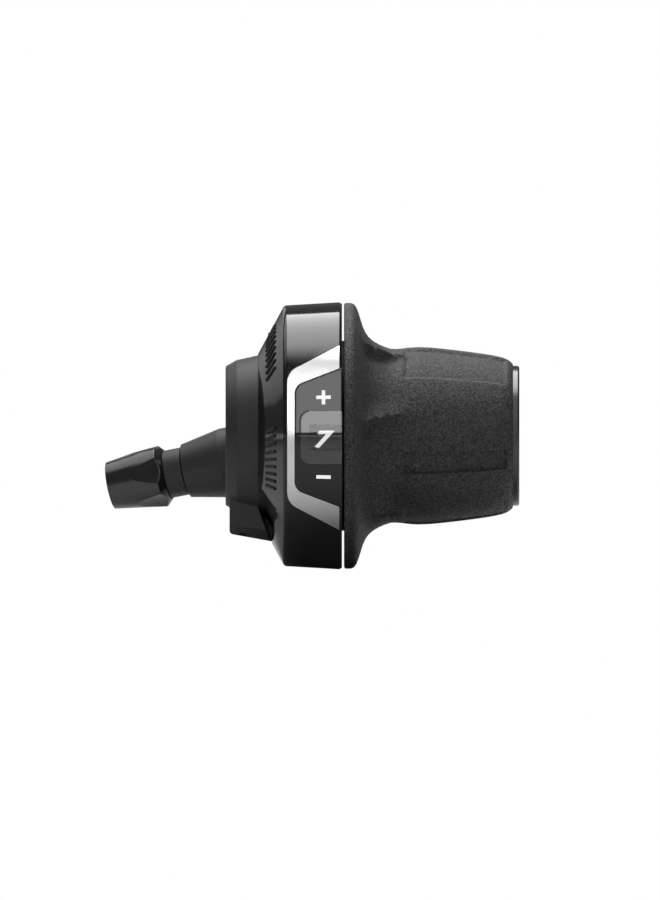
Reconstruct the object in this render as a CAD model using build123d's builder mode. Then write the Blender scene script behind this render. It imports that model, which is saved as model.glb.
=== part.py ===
"""Twist-grip gear shifter for a bicycle handlebar, seven speeds, right-hand side. Millimetres.

The bar runs along X and the origin is on its axis, at the inboard face of the clamp collar. +X points
outboard, to the bar's end, the gear window faces -Y, to the rider, and +Z is up. Angles about the bar
are counted from +Y towards +Z, so the window is at 180.
"""

import os
from math import acos, asin, atan2, cos, degrees, hypot, radians, sin, sqrt

from build123d import *

os.makedirs("parts", exist_ok=True)

# Handlebar and the fixed tube around it
bar_diameter = 22.2
bar_clearance = 0.05  # radial
tube_wall = 1.25
running_gap = 0.08  # radial, between the tube and what turns on it
fit_gap = 0.1  # between pieces that are dropped into each other
side_gap = 0.3  # between turning and standing pieces

# Clamp collar and its ears, inboard of the housing
collar_length = 6.5
collar_start_radius = 13.9
collar_shoulder_x = 2.2
collar_shoulder_radius = 15.15
collar_end_radius = 16.1
ear_start_x = 0.8
ear_end_x = 9.0
ear_front_y = -7.6
ear_back_y = 8.4
ear_depth = 19.6
ear_slope = 0.18
ear_lean = 0.43
ear_round = 0.8
ear_bevel = 1.9
slit_width = 1.2
slit_y = 1.0
clamp_bolt_x = 4.3
clamp_bolt_wall = 2.4  # material between the bar's bore and the bolt's hole
clamp_bolt_radius = 2.0
clamp_head_radius = 3.1
clamp_head_height = 3.6
clamp_key_radius = 1.45
clamp_key_depth = 2.0
clamp_nut_radius = 2.8
clamp_nut_height = 6.0
clamp_nut_y = -3.6

# Housing cover: a cone that opens into a drum, and the conical plate of the body under it
opening_gap = 0.25
cone_outer_radius = 25.9
cone_length = 5.15
cover_wall = 1.5
body_wall = 1.5
drum_start_radius = 26.1
drum_end_radius = 26.75
drum_edge_round = 0.5
drum_corner_round = 0.85
cover_end_x = 23.3
lip_width = 0.55
lip_step = 0.35
rim_length = 0.7
rim_wall = 1.4

# Notch in the cover for the ears and the key: depths are counted down from the axis
notch_top = 11.1
notch_tip = 15.3
notch_tip_x = 10.2
notch_top_x = 7.35
notch_heel = 19.0
notch_front_y = -20.0
notch_step_y = 2.2  # behind this, the notch is wider and the body closes it
notch_step = 0.5

# Gear window, seen by the rider
window_middle_z = -0.37
window_start_x = 13.8
window_corner = 10.45
window_end = 13.85
window_round = 2.4
trim_width = 1.45
trim_corner = 13.05
trim_end = 18.45
trim_round = 3.4
trim_depth = 0.5
trim_proud = 0.12
lens_proud = 0.05
magnifier_start_x = 15.0
magnifier_half_height = 5.3
magnifier_round = 2.0
magnifier_rise = 0.35
mask_thickness = 0.3
mask_gap = 0.25
mask_fit = 0.05
aperture_half_height = 2.6
aperture_start_x = 16.6
aperture_end_x = 22.6

# Gears
gear_count = 7
cable_diameter = 1.2
cable_pull_per_click = 2.9
click_angle = 12.0

# Winding drum with the cable end's pocket, and the posts that stop it
washer_thickness = 0.5
washer_outer_radius = 14.6
end_float = 0.1
drum_width = 4.6
drum_groove_width = 1.9
drum_flange_height = 0.45  # above the wound cable
nipple_radius = 2.15
nipple_wall = 1.15
nipple_circle = 16.0
nipple_angle = 150.0
nipple_floor = 0.6
stop_angle = 10.0
stop_play = 0.5
stop_inner_radius = 15.3
stop_depth = 3.0
stop_height = 2.6
dog_count = 3
dog_angle = 18.0
dog_first_angle = 60.0
dog_length = 1.2

# Click ring and its leaf spring
detent_width = 2.2
detent_radius = 18.9
notch_radius = 0.9
leaf_thickness = 0.4
leaf_width = 1.8
leaf_half_span = 8.4
leaf_stand_off = 1.0
leaf_middle_angle = 264.0
leaf_bump_half_width = 1.5
leaf_post_radius = 1.2
leaf_notch_gap = 0.1

# Dial ring with the gear numbers, screwed to the grip sleeve's inner flange
dial_wall = 0.9
dial_start_gap = 0.5
dial_web_thickness = 0.9
dial_web_radius = 19.6
dial_screw_count = 3
dial_screw_circle = 21.4
dial_screw_radius = 0.8
dial_screw_head_radius = 1.4
dial_screw_head_height = 1.0
dial_screw_first_angle = 20.0

# Grip sleeve with two flanges, and the rubber on it
sleeve_wall = 1.42
inner_flange_x = 21.2
inner_flange_end_x = 22.7
hub_radius = 19.0
grip_start_x = 23.7
outer_flange_thickness = 1.5
outer_flange_radius = 24.6
flange_radius = 26.6
flange_round = 0.4
flange_back_x = 25.3
flank_x = 27.4
flank_radius = 22.3
waist_x = 33.6
grip_waist_radius = 17.3
belly_x = 38.7
grip_radius = 17.8
shoulder_x = 55.2
shoulder_radius = 15.7
grip_end_x = 57.0
grip_end_radius = 14.3
rib_count = 6
rib_first_angle = 49.0
rib_width = 1.7
rib_middle_x = 28.4
rib_middle_radius = 21.6
rib_end_x = 34.4
rib_end_rise = 0.6
groove_depth = 0.55
groove_width_angle = 15.0
groove_start_x = 35.0
groove_angles = [132.0, 198.0, 260.0, 320.0, 10.0, 70.0]

# End ring, pressed on the tube
end_ring_gap = 0.12
end_ring_width = 1.65
end_ring_radius = 14.0
end_ring_lip = 0.6
end_ring_step = 0.3

# Cable outlet and barrel adjuster: their axis leans down and away from the rider
outlet_y = 18.9
outlet_z = -5.45
outlet_lean_y = 0.19
outlet_lean_z = -0.196
outlet_base_radius = 7.0
outlet_tip_radius = 5.4
outlet_start = -12.0
outlet_end = 8.0
outlet_gap = 0.35
insert_start = -3.5
insert_end = 2.0
insert_wall = 1.1
thread_radius = 2.5
thread_pitch = 0.8
adjuster_turns = 3.0
adjuster_clearance = 0.05  # radial
adjuster_bolt_start = -3.0
cable_hole_radius = 1.0
collar_root_start = 4.0
collar_root_radius = 4.1
collar_root_gap = 0.3
neck_radius = 4.8
neck_end = 11.9
spring_pocket_end = 6.9
spring_pocket_radius = 3.6
spring_wire_radius = 0.3
spring_turns = 4.0
seal_at = 7.5
seal_radius = 0.3
knob_start = 12.0
knob_shoulder = 1.2
knob_rim_radius = 5.1
knob_radius = 6.3
knob_end_radius = 4.75
knob_end = 23.7
knob_mouth_depth = 1.2
knob_mouth_radius = 3.9
flute_count = 5
flute_first_angle = 12.0
flute_radius = 16.0
flute_depth = 0.8
bolt_head_start = 13.6
bolt_head_radius = 3.2
bolt_head_end = 17.2
casing_radius = 2.6
guide_start = -4.0
guide_radius = 2.2
guide_bore_radius = 0.9
guide_bend_radius = 4.0
guide_straight = 1.2

# Cover screws
cover_screw_angles = [66.0, 30.0, 315.0]
cover_screw_circle = 20.4
cover_screw_radius = 1.1
cover_screw_length = 4.2
cover_screw_head_radius = 2.0
cover_screw_head_height = 1.3
cover_screw_seat = 1.1
cover_screw_wall = 0.95
cover_pad_radius = 2.8
body_pad_radius = 3.5
body_pad_height = 2.4

# Sizes that follow from those above
bore_radius = bar_diameter / 2 + bar_clearance
tube_radius = bore_radius + tube_wall
rotor_bore = tube_radius + running_gap
sleeve_radius = rotor_bore + sleeve_wall
opening_radius = collar_end_radius + opening_gap
cone_slope = (cone_outer_radius - opening_radius) / cone_length
cover_depth = cover_wall * sqrt(1 + cone_slope**2) / cone_slope
body_depth = body_wall * sqrt(1 + cone_slope**2) / cone_slope
drum_start_x = collar_length + cone_length + drum_edge_round
drum_slope = (drum_end_radius - drum_start_radius) / (cover_end_x - drum_start_x)
rim_radius = drum_start_radius - cover_wall - fit_gap
wound_radius = cable_pull_per_click / radians(click_angle)
groove_radius = wound_radius - cable_diameter / 2
drum_flange_radius = wound_radius + cable_diameter / 2 + drum_flange_height
travel_angle = click_angle * (gear_count - 1)


def cone_x(radius, depth=0.0):
    """X of the cover's cone at a radius, or of a face that lies a depth along X behind it."""
    return collar_length + (radius - opening_radius) / cone_slope + depth


def drum_radius(x):
    """The cover drum's outer radius at x."""
    return drum_start_radius + drum_slope * (x - drum_start_x)


body_start_x = cone_x(opening_radius, cover_depth + fit_gap)
body_end_x = body_start_x + body_depth
drum_x = body_end_x + washer_thickness + end_float
drum_end_x = drum_x + drum_width
groove_x = drum_x + drum_width / 2
sleeve_x = drum_end_x + fit_gap
detent_x = drum_end_x + 2 * fit_gap
detent_end_x = detent_x + detent_width
nipple_lug_radius = nipple_radius + nipple_wall
nipple_lug_x = cone_x(nipple_circle + nipple_lug_radius, cover_depth + fit_gap + body_depth + side_gap)
clamp_bolt_z = -(bore_radius + clamp_bolt_wall + clamp_bolt_radius + fit_gap)
tube_end_x = grip_end_x + end_ring_gap + end_ring_width - end_ring_lip
collar_bore_radius = collar_root_radius + adjuster_clearance
bolt_radius = thread_radius - adjuster_clearance
cover_inner_radius = rim_radius + fit_gap
mask_radius = cover_inner_radius - mask_fit - mask_thickness
dial_radius = mask_radius - mask_gap
rim_end_x = cone_x(rim_radius, body_end_x - collar_length) + rim_length
dial_start_x = rim_end_x + dial_start_gap

# The adjuster's own frame: its axis points outwards
outlet_direction = Vector(-1, outlet_lean_y, outlet_lean_z).normalized()
outlet_origin = Vector(0, outlet_y, outlet_z)
outlet_axis = Axis(outlet_origin, outlet_direction)
outlet_plane = Plane(origin=outlet_origin, x_dir=(0, -1, 0), z_dir=outlet_direction)
outlet_side = Plane(
    origin=outlet_origin,
    x_dir=outlet_direction,
    z_dir=outlet_direction.cross(outlet_plane.x_dir),
)


def side_plane(angle):
    """A plane through the bar's axis: its X is the bar's, its Y points out at an angle."""
    return Plane(
        origin=(0, 0, 0), x_dir=(1, 0, 0), z_dir=(0, -sin(radians(angle)), cos(radians(angle)))
    )


def turned(*points, plane=Plane.XZ, axis=Axis.X, arc=360.0, mode=Mode.ADD):
    """Turns a closed half profile of (along, radius) points about an axis."""
    with BuildSketch(plane) as profile:
        with BuildLine():
            Polyline(*points, close=True)
        make_face()
    revolve(profile.sketch, axis=axis, revolution_arc=arc, mode=mode)


def tube(start, end, inner, outer, mode=Mode.ADD):
    """A plain ring about the bar's axis."""
    turned((start, inner), (end, inner), (end, outer), (start, outer), mode=mode)


def sector(angle, width, start, end, inner, outer, mode=Mode.ADD):
    """A piece of ring about the bar's axis, its middle at an angle, its width in degrees."""
    turned(
        (start, inner), (end, inner), (end, outer), (start, outer),
        plane=side_plane(angle - width / 2), arc=width, mode=mode,
    )


def outlet_turned(*points, mode=Mode.ADD):
    """The same as turned, about the adjuster's axis."""
    turned(*points, plane=outlet_side, axis=outlet_axis, mode=mode)


def outlet_tube(start, end, inner, outer, mode=Mode.ADD):
    """A plain ring about the adjuster's axis."""
    outlet_turned((start, inner), (end, inner), (end, outer), (start, outer), mode=mode)


def post(angle, circle, radius, start, end, mode=Mode.ADD):
    """A round post or hole along the bar, at an angle on a circle about its axis."""
    with BuildSketch(Plane.YZ.offset(start)) as round_face:
        with Locations((circle * cos(radians(angle)), circle * sin(radians(angle)))):
            Circle(radius)
    extrude(round_face.sketch, amount=end - start, mode=mode)


def front_view(*points, back, front, corners=None, corner_round=0.0, mode=Mode.ADD):
    """A block drawn as the rider sees it, from one Y to another. Some corners can be rounded."""
    with BuildSketch(Plane.XZ.offset(-back)) as face:
        with BuildLine():
            Polyline(*points, close=True)
        make_face()
        if corners:
            fillet([face.vertices().sort_by_distance((x, z, 0))[0] for x, z in corners], corner_round)
    extrude(face.sketch, amount=back - front, mode=mode)


def save(part, label):
    """Labels a finished piece and writes its file."""
    part.label = label
    export_step(part, f"parts/{label}.step")


# Cable guide: a bent tube from the outlet to the winding drum's groove, cut back around the drum
guide_corner = outlet_origin + outlet_direction * (groove_x / outlet_direction.X)
corner_radius = hypot(guide_corner.Y, guide_corner.Z)
touch_angle = atan2(guide_corner.Z, guide_corner.Y) + acos(wound_radius / corner_radius)
touch_point = Vector(groove_x, wound_radius * cos(touch_angle), wound_radius * sin(touch_angle))
guide_plane = Plane(
    origin=guide_corner,
    x_dir=outlet_direction,
    z_dir=outlet_direction.cross(touch_point - guide_corner),
)
guide_length = guide_start - groove_x / outlet_direction.X
drum_side = guide_plane.to_local_coords(touch_point)
with BuildPart() as guide_space:
    with BuildLine(guide_plane) as guide_path:
        FilletPolyline((guide_length, 0), (0, 0), (drum_side.X, drum_side.Y), radius=guide_bend_radius)
    with BuildSketch(outlet_plane.offset(guide_start)):
        Circle(guide_radius)
    sweep(path=guide_path.line)

with BuildPart() as cable_guide:
    add(guide_space.part)
    with BuildLine(guide_plane) as guide_path:
        FilletPolyline((guide_length, 0), (0, 0), (drum_side.X, drum_side.Y), radius=guide_bend_radius)
    with BuildSketch(outlet_plane.offset(guide_start)):
        Circle(guide_bore_radius)
    sweep(path=guide_path.line, mode=Mode.SUBTRACT)
    tube(0, cover_end_x, 0, drum_flange_radius + side_gap, mode=Mode.SUBTRACT)
save(cable_guide.part, "cable_guide")

# Pads for the same screws on the body's plate: they start inside it
with BuildPart() as body_pads:
    pad_x = cone_x(cover_screw_circle) + cover_screw_seat + cover_screw_wall + fit_gap
    plate_middle = cover_depth + fit_gap + body_depth / 2
    for angle in cover_screw_angles:
        post(angle, cover_screw_circle, body_pad_radius, collar_length, pad_x + body_pad_height)
    turned(
        (-drum_start_x, 0), (-drum_start_x, 2 * rim_radius),
        (cone_x(2 * rim_radius, plate_middle), 2 * rim_radius), (cone_x(0, plate_middle), 0),
        mode=Mode.SUBTRACT,
    )

# Body: clamp collar with split ears, the tube on the bar, the plate under the cover, the cable outlet
with BuildPart() as clamp_body:
    outlet_turned(
        (outlet_start, 0), (outlet_end, 0), (outlet_end, outlet_tip_radius), (0, outlet_base_radius),
        (outlet_start, outlet_base_radius),
    )
    front_view(
        (clamp_bolt_x, -notch_top), (notch_top_x + notch_step, -notch_top),
        (notch_tip_x + notch_step, -notch_tip), (ear_end_x + notch_step, -notch_heel),
        (ear_end_x + notch_step, -ear_depth - ear_slope * (ear_end_x + notch_step - ear_start_x)),
        (clamp_bolt_x, -ear_depth - ear_slope * (clamp_bolt_x - ear_start_x)),
        back=ear_back_y, front=notch_step_y,
    )
    turned(
        (body_end_x, 0), (body_end_x, opening_radius),
        (cone_x(rim_radius, body_end_x - collar_length), rim_radius), (cover_end_x, rim_radius),
        (cover_end_x, 2 * rim_radius), (4 * cover_end_x, 2 * rim_radius), (4 * cover_end_x, 0),
        mode=Mode.SUBTRACT,
    )
    turned(
        (0, bore_radius), (0, collar_start_radius), (collar_shoulder_x, collar_shoulder_radius),
        (collar_length, collar_end_radius), (body_start_x, collar_end_radius),
        (body_start_x, opening_radius), (cone_x(rim_radius, body_start_x - collar_length), rim_radius),
        (rim_end_x, rim_radius), (rim_end_x, rim_radius - rim_wall),
        (cone_x(rim_radius - rim_wall, body_end_x - collar_length), rim_radius - rim_wall),
        (body_end_x, opening_radius), (body_end_x, tube_radius), (tube_end_x, tube_radius),
        (tube_end_x, bore_radius),
    )
    front_view(
        (ear_start_x, -bore_radius), (ear_start_x, -ear_depth),
        (ear_end_x, -ear_depth - ear_slope * (ear_end_x - ear_start_x)),
        (ear_end_x - ear_lean * (ear_depth - bore_radius), -bore_radius),
        back=ear_back_y, front=ear_front_y,
        corners=[(ear_start_x, -ear_depth)], corner_round=ear_round,
    )
    with BuildSketch(Plane(
        origin=(ear_start_x, ear_front_y, -ear_depth), x_dir=(0, 1, 0), z_dir=(1, 0, -ear_slope),
    )) as bevel:
        with BuildLine():
            Polyline((-ear_bevel, 2 * ear_bevel), (2 * ear_bevel, -ear_bevel),
                     (-ear_bevel, -ear_bevel), close=True)
        make_face()
    extrude(bevel.sketch, amount=ear_end_x + side_gap - ear_start_x, mode=Mode.SUBTRACT)
    extrude(bevel.sketch, amount=-collar_length, mode=Mode.SUBTRACT)
    add(body_pads.part)
    for angle in cover_screw_angles:
        post(angle, cover_screw_circle, cover_pad_radius + fit_gap, collar_length, pad_x,
             mode=Mode.SUBTRACT)
        post(angle, cover_screw_circle, cover_screw_radius, collar_length,
             pad_x - cover_screw_wall - fit_gap + cover_screw_length, mode=Mode.SUBTRACT)
    nipple_half_angle = degrees(asin(nipple_lug_radius / nipple_circle)) + stop_play + stop_angle / 2
    for angle in (nipple_angle - nipple_half_angle, nipple_angle + travel_angle + nipple_half_angle):
        sector(
            angle, stop_angle, cone_x(stop_inner_radius + stop_depth, body_start_x - collar_length),
            nipple_lug_x + stop_height,
            stop_inner_radius, stop_inner_radius + stop_depth,
        )
    leaf_plane_distance = detent_radius + leaf_stand_off
    leaf_post_circle = hypot(leaf_half_span, leaf_plane_distance)
    leaf_post_angle = degrees(atan2(leaf_half_span, leaf_plane_distance))
    for side in (-1, 1):
        post(
            leaf_middle_angle + side * leaf_post_angle, leaf_post_circle, leaf_post_radius,
            cone_x(leaf_post_circle, body_start_x - collar_length) + body_depth / 2, detent_end_x,
        )
    with BuildSketch(Plane(
        origin=(detent_x - fit_gap, 0, 0), x_dir=(0, -sin(radians(leaf_middle_angle)),
        cos(radians(leaf_middle_angle))), z_dir=(1, 0, 0),
    )):
        with Locations((0, -leaf_plane_distance - leaf_thickness / 2)):
            Rectangle(2 * leaf_half_span + 2 * fit_gap, leaf_thickness + fit_gap)
    extrude(amount=detent_width + 2 * fit_gap, mode=Mode.SUBTRACT)
    tube(-collar_length, tube_end_x, 0, bore_radius, mode=Mode.SUBTRACT)
    front_view(
        (-1, 0), (-1, -2 * ear_depth), (ear_end_x + 1, -2 * ear_depth), (ear_end_x + 1, -ear_depth),
        (collar_length, -bore_radius - clamp_bolt_wall), (collar_length, 0),
        back=slit_y + slit_width / 2, front=slit_y - slit_width / 2, mode=Mode.SUBTRACT,
    )
    with BuildSketch(Plane.XZ.offset(-ear_back_y)):
        with Locations((clamp_bolt_x, clamp_bolt_z)):
            Circle(clamp_bolt_radius + fit_gap)
    extrude(amount=ear_back_y - clamp_nut_y + clamp_nut_radius + 2 * fit_gap,
            mode=Mode.SUBTRACT)
    with BuildSketch(Plane.XZ.offset(-ear_back_y)):
        with Locations((clamp_bolt_x, clamp_bolt_z)):
            Circle(clamp_head_radius + 2 * fit_gap)
    extrude(amount=clamp_head_height, mode=Mode.SUBTRACT)
    with BuildSketch(Plane.XY.offset(clamp_bolt_z + clamp_nut_height / 2 + fit_gap)):
        with Locations((clamp_bolt_x, clamp_nut_y)):
            Circle(clamp_nut_radius + fit_gap)
    extrude(amount=-ear_depth, mode=Mode.SUBTRACT)
    outlet_tube(insert_end, outlet_end, 0, collar_bore_radius, mode=Mode.SUBTRACT)
    outlet_tube(
        insert_start, insert_end, 0, thread_radius + insert_wall, mode=Mode.SUBTRACT
    )
    outlet_tube(
        seal_at - seal_radius - fit_gap, seal_at + seal_radius + fit_gap, 0,
        collar_root_radius + 2 * seal_radius + fit_gap, mode=Mode.SUBTRACT,
    )
    outlet_tube(guide_start - fit_gap, insert_start, 0, guide_radius, mode=Mode.SUBTRACT)
    add(guide_space.part, mode=Mode.SUBTRACT)
    fillet(clamp_body.edges().filter_by(GeomType.CIRCLE).sort_by(
        lambda edge: edge.center().X + abs(edge.radius - collar_start_radius))[0], 0.7)

save(clamp_body.part, "clamp_body")

# Clamp bolt, from behind, and the barrel nut it pulls on, put in from below
with BuildPart() as clamp_bolt:
    with BuildSketch(Plane.XZ.offset(-ear_back_y)):
        with Locations((clamp_bolt_x, clamp_bolt_z)):
            Circle(clamp_head_radius)
    extrude(amount=clamp_head_height)
    with BuildSketch(Plane.XZ.offset(clamp_head_height - ear_back_y)):
        with Locations((clamp_bolt_x, clamp_bolt_z)):
            Circle(clamp_bolt_radius)
    extrude(amount=ear_back_y - clamp_head_height - clamp_nut_y + clamp_nut_radius - fit_gap)
    with BuildSketch(Plane.XZ.offset(-ear_back_y)):
        with Locations((clamp_bolt_x, clamp_bolt_z)):
            RegularPolygon(clamp_key_radius, 6)
    extrude(amount=clamp_key_depth, mode=Mode.SUBTRACT)
    chamfer(clamp_bolt.faces().sort_by(Axis.Y)[-1].outer_wire().edges(), 0.4)
save(clamp_bolt.part, "clamp_bolt")

with BuildPart() as clamp_nut:
    with BuildSketch(Plane.XY.offset(clamp_bolt_z - clamp_nut_height / 2)):
        with Locations((clamp_bolt_x, clamp_nut_y)):
            Circle(clamp_nut_radius)
    extrude(amount=clamp_nut_height)
    with BuildSketch(Plane.XZ):
        with Locations((clamp_bolt_x, clamp_bolt_z)):
            Circle(clamp_bolt_radius)
    extrude(amount=2 * clamp_nut_height, both=True, mode=Mode.SUBTRACT)
    chamfer(clamp_nut.faces().sort_by(Axis.Z)[0].outer_wire().edges(), 0.35)
save(clamp_nut.part, "clamp_nut")


def window_face(start_x, corner, end, end_x, corner_round, grow=0.0, mode=Mode.ADD):
    """The window's outline, closed on the left: a block through the cover's front."""
    slope = (end - corner) / (cover_end_x - lip_width - start_x)
    left, right = start_x - grow, end_x + grow
    top = corner + grow - slope * grow
    reach = top + slope * (right - left)
    front_view(
        (left, window_middle_z - top), (left, window_middle_z + top),
        (right, window_middle_z + reach), (right, window_middle_z - reach),
        back=-rim_radius / 2, front=-2 * rim_radius,
        corners=[(left, window_middle_z - top), (left, window_middle_z + top)],
        corner_round=corner_round + grow, mode=mode,
    )


def cover_band(start_x, end_x, depth, rise, mode=Mode.INTERSECT):
    """A band that follows the cover's drum, from a depth under its surface to a rise above it."""
    turned(
        (start_x, drum_radius(start_x) - depth), (end_x, drum_radius(end_x) - depth),
        (end_x, drum_radius(end_x) + rise), (start_x, drum_radius(start_x) + rise), mode=mode,
    )


# Window trim: a bright C-shaped frame let into the cover, open towards the grip
trim_start_x = window_start_x - trim_width
trim_end_x = cover_end_x - lip_width
with BuildPart() as window_trim:
    window_face(trim_start_x, trim_corner, trim_end, trim_end_x, trim_round)
    window_face(window_start_x, window_corner, window_end, cover_end_x, window_round,
                mode=Mode.SUBTRACT)
    cover_band(trim_start_x, trim_end_x, trim_depth, trim_proud)
save(window_trim.part, "window_trim")

with BuildPart() as trim_seat:
    window_face(trim_start_x, trim_corner, trim_end, trim_end_x, trim_round)
    cover_band(trim_start_x, trim_end_x, trim_depth, trim_depth)

# Pads that carry the cover's screws: they start inside its wall
with BuildPart() as cover_pads:
    seat_x = cone_x(cover_screw_circle) + cover_screw_seat
    for angle in cover_screw_angles:
        post(angle, cover_screw_circle, cover_pad_radius, collar_length, seat_x + cover_screw_wall)
    turned(
        (-drum_start_x, 0), (-drum_start_x, 2 * rim_radius),
        (cone_x(2 * rim_radius, cover_depth / 2), 2 * rim_radius), (cone_x(0, cover_depth / 2), 0),
        mode=Mode.SUBTRACT,
    )

# Housing cover: slipped on from the inboard side, over the collar and the outlet
with BuildPart() as housing_cover:
    turned(
        (collar_length, opening_radius), (collar_length + cone_length, cone_outer_radius),
        (drum_start_x, drum_start_radius), (trim_end_x, drum_radius(trim_end_x)),
        (cover_end_x, drum_radius(cover_end_x) - lip_step), (cover_end_x, cover_inner_radius),
        (cone_x(cover_inner_radius, cover_depth), cover_inner_radius),
        (cone_x(opening_radius, cover_depth), opening_radius),
    )
    corner_edges = [
        edge for edge in housing_cover.edges().filter_by(GeomType.CIRCLE)
        if edge.radius > cone_outer_radius - fit_gap and edge.arc_center.X < drum_start_x + fit_gap
    ]
    fillet(corner_edges, drum_corner_round)
    add(cover_pads.part)
    for angle in cover_screw_angles:
        post(angle, cover_screw_circle, cover_screw_head_radius + 2 * fit_gap, 0, seat_x,
             mode=Mode.SUBTRACT)
        post(angle, cover_screw_circle, cover_screw_radius + fit_gap, 0, 2 * seat_x,
             mode=Mode.SUBTRACT)
    outlet_turned(
        (outlet_start - 1, 0), (outlet_end, 0), (outlet_end, outlet_tip_radius + outlet_gap),
        (0, outlet_base_radius + outlet_gap), (outlet_start - 1, outlet_base_radius + outlet_gap),
        mode=Mode.SUBTRACT,
    )
    front_view(
        (0, -notch_top), (notch_top_x, -notch_top), (notch_tip_x, -notch_tip),
        (ear_end_x + side_gap, -notch_heel), (ear_end_x + side_gap, -2 * ear_depth),
        (0, -2 * ear_depth), back=notch_step_y - side_gap, front=notch_front_y, mode=Mode.SUBTRACT,
    )
    front_view(
        (0, side_gap - notch_top), (notch_top_x + notch_step + side_gap, side_gap - notch_top),
        (notch_tip_x + notch_step + side_gap, -notch_tip),
        (ear_end_x + notch_step + side_gap, -notch_heel - side_gap),
        (ear_end_x + notch_step + side_gap, -2 * ear_depth), (0, -2 * ear_depth),
        back=ear_back_y + side_gap, front=notch_step_y - side_gap, mode=Mode.SUBTRACT,
    )
    window_face(window_start_x, window_corner, window_end, 2 * cover_end_x, window_round,
                mode=Mode.SUBTRACT)
    add(trim_seat.part, mode=Mode.SUBTRACT)
save(housing_cover.part, "housing_cover")

with BuildPart() as cover_screws:
    for angle in cover_screw_angles:
        post(angle, cover_screw_circle, cover_screw_head_radius, seat_x - cover_screw_head_height, seat_x)
        post(angle, cover_screw_circle, cover_screw_radius, seat_x, seat_x + cover_screw_length)
        post(angle, cover_screw_circle, cover_screw_radius * 0.8, seat_x - cover_screw_head_height,
             seat_x - cover_screw_head_height / 3, mode=Mode.SUBTRACT)
save(cover_screws.part, "cover_screws")

# Lens with a raised magnifier over the gear number, and the mask behind it
with BuildPart() as magnifier:
    front_view(
        (magnifier_start_x, window_middle_z - magnifier_half_height),
        (magnifier_start_x, window_middle_z + magnifier_half_height),
        (2 * cover_end_x, window_middle_z + magnifier_half_height),
        (2 * cover_end_x, window_middle_z - magnifier_half_height),
        back=-rim_radius / 2, front=-2 * rim_radius,
        corners=[(magnifier_start_x, window_middle_z + side * magnifier_half_height) for side in (-1, 1)],
        corner_round=magnifier_round,
    )
    cover_band(window_start_x, cover_end_x, cover_wall / 2, magnifier_rise)

with BuildPart() as indicator_lens:
    window_face(window_start_x, window_corner, window_end, 2 * cover_end_x, window_round, grow=-fit_gap)
    turned(
        (window_start_x, cover_inner_radius), (cover_end_x, cover_inner_radius),
        (cover_end_x, drum_radius(cover_end_x) + lens_proud),
        (window_start_x, drum_radius(window_start_x) + lens_proud), mode=Mode.INTERSECT,
    )
    add(magnifier.part)
save(indicator_lens.part, "indicator_lens")

mask_start_x = rim_end_x + fit_gap
mask_angle = 2 * degrees(asin((window_end + trim_width) / mask_radius))
with BuildPart() as display_mask:
    sector(180, mask_angle, mask_start_x, cover_end_x, mask_radius, mask_radius + mask_thickness)
    front_view(
        (aperture_start_x, window_middle_z - aperture_half_height),
        (aperture_start_x, window_middle_z + aperture_half_height),
        (aperture_end_x, window_middle_z + aperture_half_height),
        (aperture_end_x, window_middle_z - aperture_half_height),
        back=0, front=-2 * mask_radius, mode=Mode.SUBTRACT,
    )
save(display_mask.part, "display_mask")

# Friction washer between the plate and the winding drum
with BuildPart() as friction_washer:
    tube(body_end_x, body_end_x + washer_thickness, rotor_bore, washer_outer_radius)
save(friction_washer.part, "friction_washer")

# Winding drum: a cable groove, the pocket for the cable's end, and dogs that the sleeve turns
with BuildPart() as cable_drum:
    groove_half = drum_groove_width / 2
    turned(
        (drum_x, rotor_bore), (drum_x, drum_flange_radius), (groove_x - groove_half, drum_flange_radius),
        (groove_x - groove_half, groove_radius), (groove_x + groove_half, groove_radius),
        (groove_x + groove_half, drum_flange_radius), (drum_end_x, drum_flange_radius),
        (drum_end_x, rotor_bore),
    )
    post(nipple_angle, nipple_circle, nipple_lug_radius, nipple_lug_x, drum_end_x)
    post(nipple_angle, nipple_circle, nipple_radius, nipple_lug_x + nipple_floor, drum_end_x,
         mode=Mode.SUBTRACT)
    slot_angle = degrees(nipple_lug_radius / nipple_circle)
    sector(nipple_angle - slot_angle / 2, slot_angle, groove_x - cable_diameter * 0.6,
           groove_x + cable_diameter * 0.6, groove_radius, nipple_circle, mode=Mode.SUBTRACT)
    for turn in range(dog_count):
        sector(dog_first_angle + turn * 360 / dog_count, dog_angle, drum_end_x, drum_end_x + dog_length,
               rotor_bore, sleeve_radius - fit_gap)
save(cable_drum.part, "cable_drum")

# Click ring: one notch to each click, all the way round
with BuildPart() as detent_ring:
    tube(detent_x, detent_end_x, sleeve_radius, detent_radius)
    for turn in range(round(360 / click_angle)):
        post(leaf_middle_angle + turn * click_angle, detent_radius, notch_radius, detent_x, detent_end_x,
             mode=Mode.SUBTRACT)
save(detent_ring.part, "detent_ring")

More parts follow.
